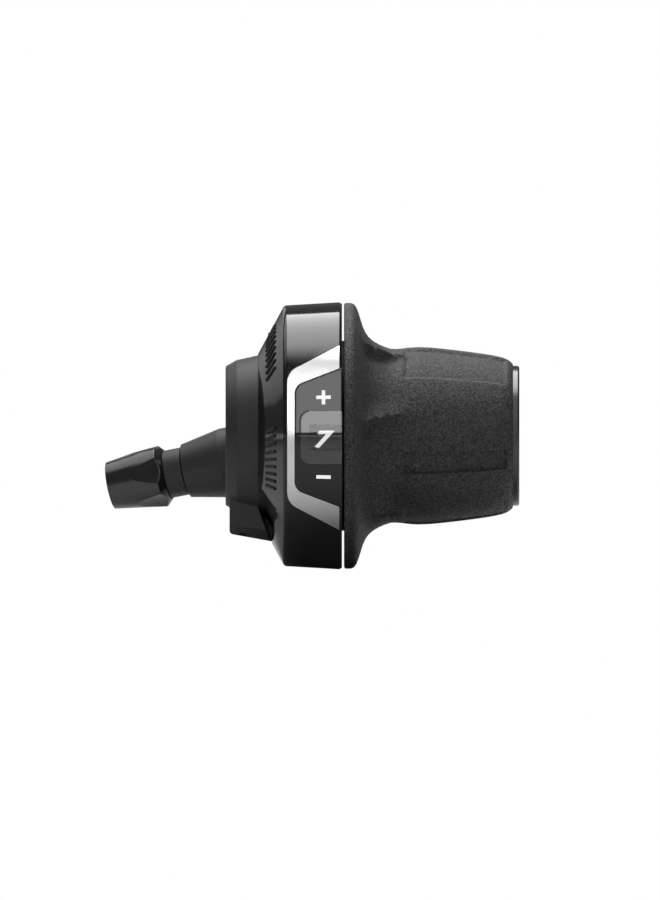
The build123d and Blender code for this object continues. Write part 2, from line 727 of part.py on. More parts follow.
# Leaf spring: a bent strip between two slotted posts, its bump in a notch
leaf_direction = Vector(0, cos(radians(leaf_middle_angle)), sin(radians(leaf_middle_angle)))
leaf_face = Plane(
    origin=(detent_x + (detent_width - leaf_width) / 2, 0, 0),
    x_dir=Vector(1, 0, 0).cross(leaf_direction), z_dir=(1, 0, 0),
)
with BuildPart() as detent_spring:
    bump_tip = -(detent_radius - notch_radius + leaf_notch_gap)
    with BuildSketch(leaf_face):
        with BuildLine() as strip:
            Polyline(
                (-leaf_half_span, -leaf_plane_distance), (-leaf_bump_half_width, -leaf_plane_distance),
                (0, bump_tip), (leaf_bump_half_width, -leaf_plane_distance),
                (leaf_half_span, -leaf_plane_distance), (leaf_half_span, -leaf_plane_distance - leaf_thickness),
                (leaf_bump_half_width, -leaf_plane_distance - leaf_thickness),
                (0, bump_tip - 2 * leaf_thickness),
                (-leaf_bump_half_width, -leaf_plane_distance - leaf_thickness),
                (-leaf_half_span, -leaf_plane_distance - leaf_thickness), close=True,
            )
        make_face()
    extrude(amount=leaf_width)
save(detent_spring.part, "detent_spring")

# Grip sleeve: turns on the tube, carries the dial inside the cover and the rubber outside it
with BuildPart() as grip_sleeve:
    turned(
        (sleeve_x, rotor_bore), (sleeve_x, sleeve_radius), (inner_flange_x, sleeve_radius),
        (inner_flange_x, dial_radius - dial_wall - fit_gap),
        (inner_flange_end_x, dial_radius - dial_wall - fit_gap), (inner_flange_end_x, hub_radius),
        (grip_start_x, hub_radius), (grip_start_x, outer_flange_radius),
        (grip_start_x + outer_flange_thickness, outer_flange_radius),
        (grip_start_x + outer_flange_thickness, sleeve_radius), (grip_end_x, sleeve_radius),
        (grip_end_x, rotor_bore),
    )
    for turn in range(dog_count):
        sector(
            dog_first_angle + turn * 360 / dog_count, dog_angle + 2 * degrees(fit_gap / rotor_bore),
            sleeve_x, drum_end_x + dog_length + fit_gap, 0, sleeve_radius, mode=Mode.SUBTRACT,
        )
    for turn in range(dial_screw_count):
        post(dial_screw_first_angle + turn * 360 / dial_screw_count, dial_screw_circle,
             dial_screw_radius, 0, inner_flange_end_x, mode=Mode.SUBTRACT)
save(grip_sleeve.part, "grip_sleeve")

with BuildPart() as dial_ring:
    tube(dial_start_x, inner_flange_end_x, dial_radius - dial_wall, dial_radius)
    tube(inner_flange_x - dial_web_thickness, inner_flange_x, dial_web_radius, dial_radius - dial_wall)
    for turn in range(dial_screw_count):
        post(dial_screw_first_angle + turn * 360 / dial_screw_count, dial_screw_circle,
             dial_screw_radius + fit_gap, 0, inner_flange_end_x, mode=Mode.SUBTRACT)
save(dial_ring.part, "dial_ring")

head_x = inner_flange_x - dial_web_thickness
with BuildPart() as dial_screws:
    for turn in range(dial_screw_count):
        angle = dial_screw_first_angle + turn * 360 / dial_screw_count
        post(angle, dial_screw_circle, dial_screw_head_radius, head_x - dial_screw_head_height, head_x)
        post(angle, dial_screw_circle, dial_screw_radius, head_x, inner_flange_end_x)
save(dial_screws.part, "dial_screws")

# Grip rubber: wraps the outer flange, necks down to the barrel, with ribs in the neck
with BuildPart() as grip_rubber:
    with BuildSketch(Plane.XZ):
        with BuildLine():
            Polyline(
                (flange_back_x, flange_radius), (grip_start_x + flange_round, flange_radius),
                (grip_start_x, flange_radius - flange_round), (grip_start_x, outer_flange_radius),
                (grip_start_x + outer_flange_thickness, outer_flange_radius),
                (grip_start_x + outer_flange_thickness, sleeve_radius), (grip_end_x, sleeve_radius),
                (grip_end_x, grip_end_radius),
            )
            Spline((flange_back_x, flange_radius), (flank_x, flank_radius), (waist_x, grip_waist_radius),
                   (belly_x, grip_radius), (shoulder_x, shoulder_radius), (grip_end_x, grip_end_radius),
                   tangents=[(1, 0), (1, -2)])
        make_face()
    revolve(axis=Axis.X)
    for turn in range(rib_count):
        with BuildSketch(side_plane(rib_first_angle + turn * 360 / rib_count)):
            with BuildLine():
                Polyline(
                    (flange_back_x, flange_radius - flange_round), (rib_middle_x, rib_middle_radius),
                    (rib_end_x, grip_waist_radius + rib_end_rise), (rib_end_x, sleeve_radius),
                    (grip_start_x + outer_flange_thickness, sleeve_radius),
                    (grip_start_x + outer_flange_thickness, flange_radius - flange_round), close=True,
                )
            make_face()
        extrude(amount=rib_width / 2, both=True)
    for angle in groove_angles:
        turned(
            (groove_start_x, grip_waist_radius - groove_depth), (belly_x, grip_radius - groove_depth),
            (shoulder_x, shoulder_radius - groove_depth), (shoulder_x, 2 * grip_radius),
            (groove_start_x, 2 * grip_radius), plane=side_plane(angle - groove_width_angle / 2),
            arc=groove_width_angle, mode=Mode.SUBTRACT,
        )
    tube(0, grip_end_x, 0, sleeve_radius, mode=Mode.SUBTRACT)
    tube(0, grip_start_x + outer_flange_thickness, 0, outer_flange_radius, mode=Mode.SUBTRACT)
save(grip_rubber.part, "grip_rubber")

# End ring: pressed on the tube, its lip over the tube's end
end_ring_x = grip_end_x + end_ring_gap
with BuildPart() as end_ring:
    turned(
        (end_ring_x, tube_radius), (end_ring_x, end_ring_radius - end_ring_step / 2),
        (end_ring_x + end_ring_step / 2, end_ring_radius),
        (end_ring_x + end_ring_width - end_ring_step, end_ring_radius),
        (end_ring_x + end_ring_width, end_ring_radius - end_ring_step),
        (end_ring_x + end_ring_width, bore_radius + end_ring_step), (tube_end_x, bore_radius + end_ring_step),
        (tube_end_x, tube_radius),
    )
save(end_ring.part, "end_ring")

# Barrel adjuster: threaded insert, sprung collar, and a hollow bolt moulded into the knob
with BuildPart() as thread_insert:
    outlet_tube(insert_start, insert_end, thread_radius, thread_radius + insert_wall)
save(thread_insert.part, "thread_insert")

with BuildPart() as adjuster_seal:
    seal_circle = collar_root_radius + seal_radius + fit_gap / 2
    with BuildSketch(outlet_side):
        with Locations((seal_at, seal_circle)):
            Circle(seal_radius)
    revolve(axis=outlet_axis)
save(adjuster_seal.part, "adjuster_seal")

with BuildPart() as adjuster_collar:
    outlet_turned(
        (collar_root_start, spring_pocket_radius), (collar_root_start, collar_root_radius),
        (outlet_end + collar_root_gap, collar_root_radius), (outlet_end + collar_root_gap, neck_radius),
        (neck_end, neck_radius), (neck_end, bolt_radius + adjuster_clearance),
        (spring_pocket_end, bolt_radius + adjuster_clearance), (spring_pocket_end, spring_pocket_radius),
    )
save(adjuster_collar.part, "adjuster_collar")

with BuildPart() as adjuster_bolt:
    outlet_turned(
        (adjuster_bolt_start, cable_hole_radius), (adjuster_bolt_start, bolt_radius),
        (bolt_head_start, bolt_radius), (bolt_head_start, bolt_head_radius),
        (bolt_head_end, bolt_head_radius), (bolt_head_end, cable_hole_radius),
    )
save(adjuster_bolt.part, "adjuster_bolt")

with BuildPart() as adjuster_knob:
    outlet_turned(
        (knob_start, bolt_radius), (knob_start, knob_rim_radius),
        (knob_start + knob_shoulder, knob_radius), (knob_end, knob_end_radius),
        (knob_end, knob_mouth_radius), (knob_end - knob_mouth_depth, casing_radius),
        (bolt_head_end, casing_radius), (bolt_head_end, bolt_head_radius),
        (bolt_head_start, bolt_head_radius), (bolt_head_start, bolt_radius),
    )
    with BuildSketch(outlet_plane.offset(knob_start)):
        with PolarLocations(knob_radius + flute_radius - flute_depth, flute_count,
                            start_angle=flute_first_angle):
            Circle(flute_radius)
    extrude(amount=knob_end - knob_start, mode=Mode.SUBTRACT)
save(adjuster_knob.part, "adjuster_knob")

spring_radius = (spring_pocket_radius + bolt_radius) / 2
with BuildPart() as adjuster_spring:
    spring_height = spring_pocket_end - insert_end - 2 * spring_wire_radius - fit_gap
    spring_base = outlet_origin + outlet_direction * (insert_end + spring_wire_radius + fit_gap / 2)
    with BuildLine() as coil:
        Helix(spring_height / spring_turns, spring_height, spring_radius, center=spring_base,
              direction=outlet_direction)
    with BuildSketch(Plane(origin=coil.line @ 0, z_dir=coil.line % 0)):
        Circle(spring_wire_radius)
    sweep(path=coil.line)
save(adjuster_spring.part, "adjuster_spring")
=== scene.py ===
from math import atan2, degrees, hypot, pi, radians

import bmesh
import bpy
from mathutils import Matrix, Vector


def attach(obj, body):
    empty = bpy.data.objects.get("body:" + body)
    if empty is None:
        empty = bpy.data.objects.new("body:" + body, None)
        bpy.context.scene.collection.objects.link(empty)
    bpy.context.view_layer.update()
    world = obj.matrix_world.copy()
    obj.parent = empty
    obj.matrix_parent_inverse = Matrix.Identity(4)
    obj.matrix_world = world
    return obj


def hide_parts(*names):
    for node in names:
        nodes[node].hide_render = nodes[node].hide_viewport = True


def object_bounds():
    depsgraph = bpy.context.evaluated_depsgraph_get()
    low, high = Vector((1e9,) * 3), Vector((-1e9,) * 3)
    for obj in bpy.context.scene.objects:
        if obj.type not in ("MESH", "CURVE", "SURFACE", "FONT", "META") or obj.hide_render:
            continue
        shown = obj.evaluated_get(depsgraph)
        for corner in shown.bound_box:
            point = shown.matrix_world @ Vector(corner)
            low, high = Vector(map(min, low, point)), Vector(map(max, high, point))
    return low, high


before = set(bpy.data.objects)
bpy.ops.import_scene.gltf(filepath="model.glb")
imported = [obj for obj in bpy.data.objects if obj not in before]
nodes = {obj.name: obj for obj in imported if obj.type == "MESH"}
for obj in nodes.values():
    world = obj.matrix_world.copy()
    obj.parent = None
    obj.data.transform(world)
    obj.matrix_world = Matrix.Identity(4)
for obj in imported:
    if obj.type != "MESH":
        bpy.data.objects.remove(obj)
cad_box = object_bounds()


# Clamp body: one moulding of glass-filled nylon, with the collar, its split ears, the tube and the cable
# outlet in one. It has a fine matte spark grain. As the first finish, it also brings the shader maths.
class Value:
    """A shader socket that is added, multiplied and compared like a number."""

    def __init__(self, finish, socket):
        self.finish, self.socket = finish, socket

    def maths(self, operation, *values):
        return self.finish.node("ShaderNodeMath", "Value", values, operation=operation)

    def __add__(self, other):
        return self.maths("ADD", self, other)

    def __sub__(self, other):
        return self.maths("SUBTRACT", self, other)

    def __rsub__(self, other):
        return self.maths("SUBTRACT", other, self)

    def __mul__(self, other):
        return self.maths("MULTIPLY", self, other)

    def __truediv__(self, other):
        return self.maths("DIVIDE", self, other)

    __radd__, __rmul__ = __add__, __mul__


class Mixture:
    """A tree of shader nodes."""

    def __init__(self, tree):
        self.tree = tree

    def node(self, kind, output, inputs=(), **settings):
        made = self.tree.nodes.new(kind)
        for setting, choice in settings.items():
            setattr(made, setting, choice)
        for socket, value in inputs.items() if isinstance(inputs, dict) else enumerate(inputs):
            self.join(value, made.inputs[socket])
        return Value(self, made.outputs[output])

    def join(self, value, socket):
        if isinstance(value, Value):
            self.tree.links.new(value.socket, socket)
        else:
            socket.default_value = value

    def rise(self, value, low, high, start=0.0, end=1.0):
        """Goes smoothly from start at low to end at high."""
        inputs = {"Value": value, "From Min": low, "From Max": high, "To Min": start, "To Max": end}
        return self.node("ShaderNodeMapRange", "Result", inputs, interpolation_type="SMOOTHSTEP")

    def blend(self, share, first, second):
        """A colour between two others."""
        inputs = {0: share, 6: first, 7: second}
        return self.node("ShaderNodeMix", 2, inputs, data_type="RGBA")


class Finish(Mixture):
    """A material that is patterned in the object's own coordinates."""

    def __init__(self, name, colour, roughness, **constants):
        self.material = bpy.data.materials.new(name)
        self.material.use_nodes = True
        self.material.diffuse_color = (*colour, 1)
        super().__init__(self.material.node_tree)
        self.shader = self.tree.nodes["Principled BSDF"]
        self.feed("Base Color", (*colour, 1))
        self.feed("Roughness", roughness)
        for socket, constant in constants.items():
            self.feed(socket.replace("_", " "), constant)
        self.place = self.node("ShaderNodeTexCoord", "Object")

    def feed(self, socket, value):
        self.join(value, self.shader.inputs[socket])

    def along(self, axis):
        return self.node("ShaderNodeSeparateXYZ", axis, [self.place])

    def noise(self, size, detail=2.0):
        """Soft noise, 0 to 1, with lumps of that size in metres."""
        inputs = {"Vector": self.place, "Scale": 1 / size, "Detail": detail}
        return self.node("ShaderNodeTexNoise", "Fac", inputs)

    def stretched(self, size, **times):
        """Noise that runs lengthwise: each axis is first scaled by so many times."""
        scale = (times.get("x", 1), times.get("y", 1), times.get("z", 1))
        drawn = self.node("ShaderNodeMapping", "Vector", {"Vector": self.place, "Scale": scale})
        return self.node("ShaderNodeTexNoise", "Fac", {"Vector": drawn, "Scale": 1 / size, "Detail": 3.0})

    def relief(self, height, depth, edge=0.0):
        """Raises the surface by height times a depth in metres, and rounds sharp edges by a radius."""
        inputs = {"Height": height, "Distance": depth}
        if edge:
            inputs["Normal"] = self.node("ShaderNodeBevel", "Normal", {"Radius": edge}, samples=8)
        self.feed("Normal", self.node("ShaderNodeBump", "Normal", inputs))


def grey(level, warmth=0.0):
    return (level * (1 + warmth), level, level * (1 - warmth), 1)


def paint(finish, *names):
    """Gives CAD nodes a finish."""
    for name in names:
        mesh = nodes[name].data
        mesh.materials.clear()
        mesh.materials.append(finish.material)


nylon = Finish("spark_grained_nylon", (0.028, 0.028, 0.029), 0.5, Specular_IOR_Level=0.5)
grain = nylon.noise(0.00022, 3.0)
patches = nylon.noise(0.004)
nylon.feed("Base Color", nylon.blend(grain * 0.5 + patches * 0.5, grey(0.014), grey(0.03)))
nylon.feed("Roughness", nylon.rise(grain, 0.3, 0.7, 0.42, 0.56))
nylon.relief(grain, 0.00003, edge=0.0003)
paint(nylon, "clamp_body")


# Clamp bolt and its nut: zinc-plated steel, turned, with a socket in the head. They pull the split ears
# together on the bar.
steel = Finish("plated_steel", (0.3, 0.3, 0.31), 0.3, Metallic=1.0)
haze = steel.noise(0.0012, 3.0)
scuffs = steel.stretched(0.0004, y=0.08)
steel.feed("Base Color", steel.blend(haze, grey(0.24), grey(0.4, 0.02)))
steel.feed("Roughness", steel.rise(scuffs, 0.3, 0.7, 0.22, 0.4))
steel.relief(scuffs, 0.00001, edge=0.00015)
paint(steel, "clamp_bolt", "clamp_nut")


# Thread insert: a turned brass bush that is let into the cable outlet. The adjuster bolt screws into it, so the
# plastic carries no thread.
brass = Finish("machined_brass", (0.6, 0.42, 0.16), 0.28, Metallic=1.0)
turning = brass.stretched(0.0003, x=0.2)
brass.feed("Base Color", brass.blend(turning, (0.52, 0.35, 0.12, 1), (0.68, 0.5, 0.22, 1)))
brass.feed("Roughness", brass.rise(turning, 0.3, 0.7, 0.2, 0.38))
brass.relief(turning, 0.00001, edge=0.0001)
paint(brass, "thread_insert")


# Adjuster bolt and small screws: steel, turned and then blackened. The bolt is moulded into the knob and holds
# the casing's end, and the screws hold the cover and the dial.
blackened = Finish("blackened_steel", (0.05, 0.05, 0.052), 0.35, Metallic=1.0)
wear = blackened.noise(0.0008, 4.0)
blackened.feed("Base Color", blackened.blend(wear, grey(0.03), grey(0.09)))
blackened.feed("Roughness", blackened.rise(wear, 0.3, 0.7, 0.3, 0.5))
blackened.relief(wear, 0.00001, edge=0.00012)
paint(blackened, "adjuster_bolt", "cover_screws", "dial_screws")


# Springs: the coil that holds the adjuster and the leaf that clicks on the detent ring, both bright drawn
# spring steel.
spring = Finish("spring_steel", (0.42, 0.42, 0.43), 0.25, Metallic=1.0)
drawn = spring.noise(0.0005, 3.0)
spring.feed("Base Color", spring.blend(drawn, grey(0.34), grey(0.52)))
spring.feed("Roughness", spring.rise(drawn, 0.3, 0.7, 0.18, 0.34))
spring.relief(drawn, 0.000005, edge=0.00008)
paint(spring, "adjuster_spring", "detent_spring")


# Running parts inside: winding drum, cable guide, detent ring and the sleeve that carries the rubber. They are
# smooth satin mouldings in acetal that nobody sees once the cover is on.
acetal = Finish("satin_acetal", (0.05, 0.05, 0.052), 0.42)
flow = acetal.noise(0.003, 3.0)
acetal.feed("Base Color", acetal.blend(flow, grey(0.035), grey(0.065)))
acetal.feed("Roughness", acetal.rise(flow, 0.3, 0.7, 0.36, 0.5))
acetal.relief(acetal.noise(0.0003), 0.000008, edge=0.0002)
paint(acetal, "cable_drum", "cable_guide", "detent_ring", "grip_sleeve")


# Friction washer: punched from milky acetal sheet and laid between the clamp body's plate and the winding drum,
# so that the drum turns without sticking.
washer = Finish("milky_washer", (0.6, 0.6, 0.57), 0.38)
cloud = washer.noise(0.002, 3.0)
washer.feed("Base Color", washer.blend(cloud, grey(0.5, 0.02), grey(0.66, 0.03)))
washer.feed("Roughness", washer.rise(cloud, 0.3, 0.7, 0.32, 0.46))
paint(washer, "friction_washer")


# Adjuster seal: a moulded rubber O-ring, rolled into its groove in the outlet's mouth, where it keeps water out
# of the adjuster.
seal = Finish("seal_rubber", (0.02, 0.02, 0.02), 0.6)
bloom = seal.noise(0.0006, 3.0)
seal.feed("Base Color", seal.blend(bloom, grey(0.012), grey(0.03)))
seal.feed("Roughness", seal.rise(bloom, 0.3, 0.7, 0.5, 0.7))
seal.relief(bloom, 0.00001)
paint(seal, "adjuster_seal")


# Adjuster collar: matte nylon moulding between the outlet and the knob. A spring holds it against the knob, and
# it slides without turning.
collar = Finish("matte_collar", (0.024, 0.024, 0.025), 0.5)
collar_grain = collar.noise(0.0002, 3.0)
collar.feed("Base Color", collar.blend(collar_grain, grey(0.017), grey(0.03)))
collar.feed("Roughness", collar.rise(collar_grain, 0.3, 0.7, 0.42, 0.56))
collar.relief(collar_grain, 0.00002, edge=0.0002)
paint(collar, "adjuster_collar")


# Adjuster knob: a barrel of glossy black plastic with five finger flutes, moulded over the head of the
# adjuster bolt.
gloss = Finish("glossy_knob", (0.01, 0.01, 0.0105), 0.16, Specular_IOR_Level=0.85)
handling = gloss.noise(0.0015, 4.0)
gloss.feed("Base Color", gloss.blend(handling, grey(0.008), grey(0.016)))
gloss.feed("Roughness", gloss.rise(handling, 0.3, 0.7, 0.12, 0.24))
gloss.relief(handling, 0.00001, edge=0.0003)
paint(gloss, "adjuster_knob")


# Housing cover: high-gloss black moulding, a cone that opens into a faceted drum. Three screws hold it on the
# clamp body's plate.
piano = Finish("gloss_cover", (0.008, 0.008, 0.0085), 0.07)
ripple = piano.noise(0.006, 2.0)
dust = piano.noise(0.00035, 3.0)
piano.feed("Base Color", piano.blend(ripple, grey(0.006), grey(0.011)))
piano.feed("Roughness", piano.rise(dust, 0.35, 0.75, 0.05, 0.12))
piano.relief(ripple, 0.00002, edge=0.0002)
paint(piano, "housing_cover")


# Grip marks on the cone: two rows of short matte ribs, a plain hatch moulded on the gloss so that the
# fingers find the housing when the cable is hooked in.
cone_start_x, cone_start_radius, cone_rise = 0.0065, 0.01635, 9.55 / 5.15
rib_radius, rib_length, rib_width, rib_sunk = 0.0211, 0.0040, 0.00062, 0.0006
rib_tilt, rib_edge = 14, 0.00016
rib_x = cone_start_x + (rib_radius - cone_start_radius) / cone_rise
lean = atan2(cone_rise, 1)

matte = Finish("matte_marks", (0.012, 0.012, 0.012), 0.62)
tooth = matte.noise(0.00025, 3.0)
matte.feed("Base Color", matte.blend(tooth, grey(0.006), grey(0.018)))
matte.feed("Roughness", matte.rise(tooth, 0.3, 0.7, 0.52, 0.7))
matte.relief(tooth, 0.00002)

bpy.ops.object.select_all(action="DESELECT")
bpy.ops.mesh.primitive_cube_add(size=rib_width, location=(rib_x, -rib_radius, 0))
bpy.ops.object.transform_apply(location=True, rotation=True, scale=True)
rib = bpy.context.object
bpy.ops.object.mode_set(mode="EDIT")
bpy.ops.mesh.select_all(action="SELECT")
rib_middle = (rib_x, -rib_radius, 0)
bpy.ops.transform.resize(
    value=(rib_length / rib_width, rib_sunk / rib_width, 1), center_override=rib_middle
)
bpy.ops.transform.rotate(value=radians(rib_tilt), orient_axis="Y", center_override=rib_middle)
bpy.ops.transform.rotate(value=lean, orient_axis="Z", center_override=rib_middle)
bpy.ops.mesh.bevel(offset=rib_edge, segments=3, affect="EDGES")
bpy.ops.object.mode_set(mode="OBJECT")
bpy.ops.object.shade_smooth_by_angle(angle=radians(40))
rib.data.materials.append(matte.material)
for row, angles in (("upper", range(36, 80, 5)), ("lower", range(-29, 4, 4))):
    for count, angle in enumerate(angles, 1):
        mark = rib.copy()
        mark.data = rib.data.copy()
        mark.name = mark.data.name = f"cone_rib_{row}_{count}"
        bpy.context.collection.objects.link(mark)
        bpy.ops.object.select_all(action="DESELECT")
        mark.select_set(True)
        bpy.context.view_layer.objects.active = mark
        bpy.ops.object.mode_set(mode="EDIT")
        bpy.ops.mesh.select_all(action="SELECT")
        bpy.ops.transform.rotate(value=radians(angle), orient_axis="X", center_override=(0, 0, 0))
        bpy.ops.object.mode_set(mode="OBJECT")
        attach(mark, "housing")
bpy.data.objects.remove(rib)


# Window trim: a C-shaped plastic frame, moulded, satin chromed and pressed into its seat round the window in
# the cover.
chrome = Finish("satin_chrome", (0.8, 0.8, 0.81), 0.2, Metallic=1.0)
veil = chrome.noise(0.004, 2.0)
chrome.feed("Base Color", chrome.blend(veil, grey(0.78), grey(0.84)))
chrome.feed("Roughness", chrome.rise(veil, 0.3, 0.7, 0.24, 0.27))
chrome.relief(veil, 0.000001)
paint(chrome, "window_trim")


# Display mask and dial ring: matt black plastic, moulded. The mask sits behind the lens, and the dial is
# screwed to the grip's sleeve and turns behind the mask.
mask = Finish("printed_mask", (0.03, 0.03, 0.03), 0.5)
print_grain = mask.noise(0.0002, 3.0)
mask.feed("Base Color", mask.blend(print_grain, grey(0.024), grey(0.04)))
mask.feed("Roughness", mask.rise(print_grain, 0.3, 0.7, 0.42, 0.58))
paint(mask, "display_mask", "dial_ring")


# Indicator lens: a smoked clear acrylic plate, moulded with a magnifier over the gear number and held in the
# cover by the trim round it.
window_middle_z = -0.00037
lens = Finish("smoked_lens", (0.012, 0.012, 0.0125), 0.04, Coat_Roughness=0.03, Coat_IOR=2.0)
smoke = lens.noise(0.004, 2.0)
height = lens.node("ShaderNodeMath", "Value", [lens.along("Z") - window_middle_z], operation="ABSOLUTE")


def rounded_patch(left, half_height, corner):
    """1 inside a patch of the lens with rounded left corners, else 0."""
    over = lens.node("ShaderNodeMath", "Value", [height - (half_height - corner), 0], operation="MAXIMUM")
    out = lens.node("ShaderNodeMath", "Value", [left + corner - lens.along("X"), 0], operation="MAXIMUM")
    return lens.rise(over * over + out * out, (corner + 0.00005) ** 2, (corner - 0.00005) ** 2)


bubble = rounded_patch(0.0150, 0.0053, 0.0020)
clear = rounded_patch(0.0166, 0.0026, 0.0006)
# The magnifier's lighter base colour is painted reflection: it stands in for the brighter light the curved
# bubble catches.
lens.feed("Base Color", lens.blend(bubble, grey(0.012), grey(0.035)))
lens.feed("Roughness", lens.rise(smoke, 0.3, 0.7, 0.03, 0.06))
lens.feed("Coat Weight", bubble * 0.4 + clear * 0.6)
lens.feed("Alpha", 1 - clear * 0.55)
lens.relief(smoke, 0.000004, edge=0.0004)
paint(lens, "indicator_lens")


# Marks for shifting up and down: white ink printed on the lens, a cross above the gear and a bar below it.
# Each is a thin layer laid at the lens's slope.
lens_radius, lens_slope = 0.0266, atan2(0.65, 11.15)
mark_x, mark_reach, mark_stroke = 0.0196, 0.00145, 0.0007
# The ink is set to glow, painted light that keeps the marks white under the smoked lens; its grain is real.
glowing_lens_ink = Finish("glowing_white_ink", (0.85, 0.85, 0.85), 0.5, Emission_Strength=0.6)
ink_grain = glowing_lens_ink.noise(0.0002, 3.0)
glowing_lens_ink.feed("Base Color", glowing_lens_ink.blend(ink_grain, grey(0.78), grey(0.9)))
glowing_lens_ink.feed("Emission Color", glowing_lens_ink.blend(ink_grain, grey(0.8), grey(0.9)))
glowing_lens_ink.feed("Roughness", glowing_lens_ink.rise(ink_grain, 0.3, 0.7, 0.4, 0.6))


def stroke_mark(name, rise, directions):
    """A flat mark laid so many degrees above the lens's middle, its core drawn out in directions."""
    centre = (mark_x, -lens_radius, 0)
    bpy.ops.object.select_all(action="DESELECT")
    bpy.ops.mesh.primitive_cube_add(size=mark_stroke, location=centre)
    mark = bpy.context.object
    mark.name = mark.data.name = name
    bpy.ops.object.transform_apply(location=True, rotation=True, scale=True)
    bpy.ops.object.mode_set(mode="EDIT")
    bpy.ops.mesh.select_mode(type="FACE")
    for direction in directions:
        shape = bmesh.from_edit_mesh(mark.data)
        for face in shape.faces:
            on_core = (face.calc_center_median() - Vector(centre)).length < 0.6 * mark_stroke
            face.select = on_core and face.normal.dot(Vector(direction)) > 0.9
        shape.select_flush_mode()
        bmesh.update_edit_mesh(mark.data)
        reach = Vector(direction) * (mark_reach - mark_stroke / 2)
        bpy.ops.mesh.extrude_region_move(TRANSFORM_OT_translate={"value": reach})
    bpy.ops.mesh.select_all(action="SELECT")
    bpy.ops.transform.resize(value=(1, 0.22, 1), center_override=centre)
    bpy.ops.transform.rotate(value=lens_slope, orient_axis="Z", center_override=centre)
    bpy.ops.transform.rotate(value=radians(rise), orient_axis="X", center_override=(0, 0, 0))
    bpy.ops.mesh.normals_make_consistent(inside=False)
    bpy.ops.object.mode_set(mode="OBJECT")
    mark.data.materials.append(glowing_lens_ink.material)
    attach(mark, "housing")


stroke_mark("plus_mark", 16.8, [(1, 0, 0), (-1, 0, 0), (0, 0, 1), (0, 0, -1)])
stroke_mark("minus_mark", -18.0, [(1, 0, 0), (-1, 0, 0)])


# Gear numbers: white ink on the dial, seven slanted digits, set to glow: painted light that keeps them bright
# behind the smoked lens. They turn with the grip, and one comes under the magnifier at each click.
dial_radius, click, digit_x, digit_drop = 0.02402, 12, 0.01985, -1.7
digit_width, digit_height, digit_depth = 0.0040, 0.0035, 0.00016
glowing_dial_ink = Finish("dial_ink_glowing", (0.85, 0.85, 0.85), 0.5, Emission_Strength=2.6)
speckle = glowing_dial_ink.noise(0.0002, 3.0)
glowing_dial_ink.feed("Base Color", glowing_dial_ink.blend(speckle, grey(0.78), grey(0.9)))
glowing_dial_ink.feed("Emission Color", glowing_dial_ink.blend(speckle, grey(0.8), grey(0.95)))
for gear in range(1, 8):
    bpy.ops.object.select_all(action="DESELECT")
    bpy.ops.object.text_add()
    text = bpy.context.object
    text.data.body = str(gear)
    text.data.shear = 0.25
    text.data.extrude = 0.1
    text.data.offset = 0.03
    bpy.ops.object.convert(target="MESH")
    digit = bpy.context.object
    digit.name = digit.data.name = f"gear_number_{gear}"
    wide, tall, thick = digit.dimensions
    middle = sum((Vector(corner) for corner in digit.bound_box), Vector()) / 8
    digit.data.materials.clear()
    digit.data.materials.append(glowing_dial_ink.material)
    bpy.ops.object.mode_set(mode="EDIT")
    bpy.ops.mesh.select_all(action="SELECT")
    bpy.ops.mesh.remove_doubles(threshold=1e-5)
    bpy.ops.transform.translate(value=-middle)
    spread = 1.0 if gear != 1 else 0.5
    bpy.ops.transform.resize(
        value=(digit_width * spread / wide, digit_height / tall, digit_depth / thick), center_override=(0, 0, 0)
    )
    bpy.ops.transform.rotate(value=radians(-90), orient_axis="X", center_override=(0, 0, 0))
    bpy.ops.transform.translate(value=(digit_x, -dial_radius, 0))
    turn = (7 - gear) * click + digit_drop
    bpy.ops.transform.rotate(value=radians(turn), orient_axis="X", center_override=(0, 0, 0))
    bpy.ops.mesh.normals_make_consistent(inside=False)
    bpy.ops.object.mode_set(mode="OBJECT")
    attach(digit, "grip")


# Grip rubber: soft thermoplastic moulded over the sleeve, one skin from the flange's face to the end ring.
# Thin fins brace the flange on the neck, and shallow flats with soft edges part the barrel's panels.
skin = [
    (23.70, 24.90), (23.70, 26.10), (23.78, 26.42), (24.05, 26.60), (25.15, 26.58), (25.75, 26.28),
    (26.20, 25.66), (26.65, 24.50), (27.05, 23.20), (27.45, 21.90), (27.95, 20.75), (28.60, 19.80),
    (29.50, 19.00), (30.60, 18.35), (31.80, 17.82), (33.00, 17.42), (34.20, 17.38), (35.40, 17.48),
    (36.80, 17.66), (38.60, 17.76), (41.00, 17.66), (43.60, 17.42), (46.20, 17.12), (48.80, 16.80),
    (51.40, 16.44), (53.40, 16.12), (55.40, 15.68), (56.40, 15.26), (57.00, 14.86), (57.38, 14.46),
    (57.50, 14.18),
]
fin_height = {
    26.65: 0.30, 27.05: 0.70, 27.45: 1.15, 27.95: 1.60, 28.60: 1.95, 29.50: 2.10, 30.60: 1.95,
    31.80: 1.65, 33.00: 1.25, 34.20: 0.80, 35.40: 0.35, 36.80: 0.10,
}
fin_start_x, fin_end_x = 26.65, 36.80
fins = [(124, 113), (174, 164), (228, 239), (306, 297), (348, 358), (54, 44)]
fin_sides = {0: 1.0, -1: 0.6, -2: 0.34, -3: 0.14, 1: -0.06, 2: -0.2, 3: -0.12}
# Each flat: its first and last angle, then the width and depth of its edge slope in millimetres.
flats = [
    (100.5, 139.5, 0.8, 0.55), (190.5, 205.5, 0.14, 0.8), (235.5, 265.5, 0.7, 0.4),
    (298.5, 313.5, 0.14, 0.8), (343.5, 373.5, 0.7, 0.4), (58.5, 73.5, 0.14, 0.8),
]
flat_start_x, flat_end_x = 35.0, 56.0
columns = 120


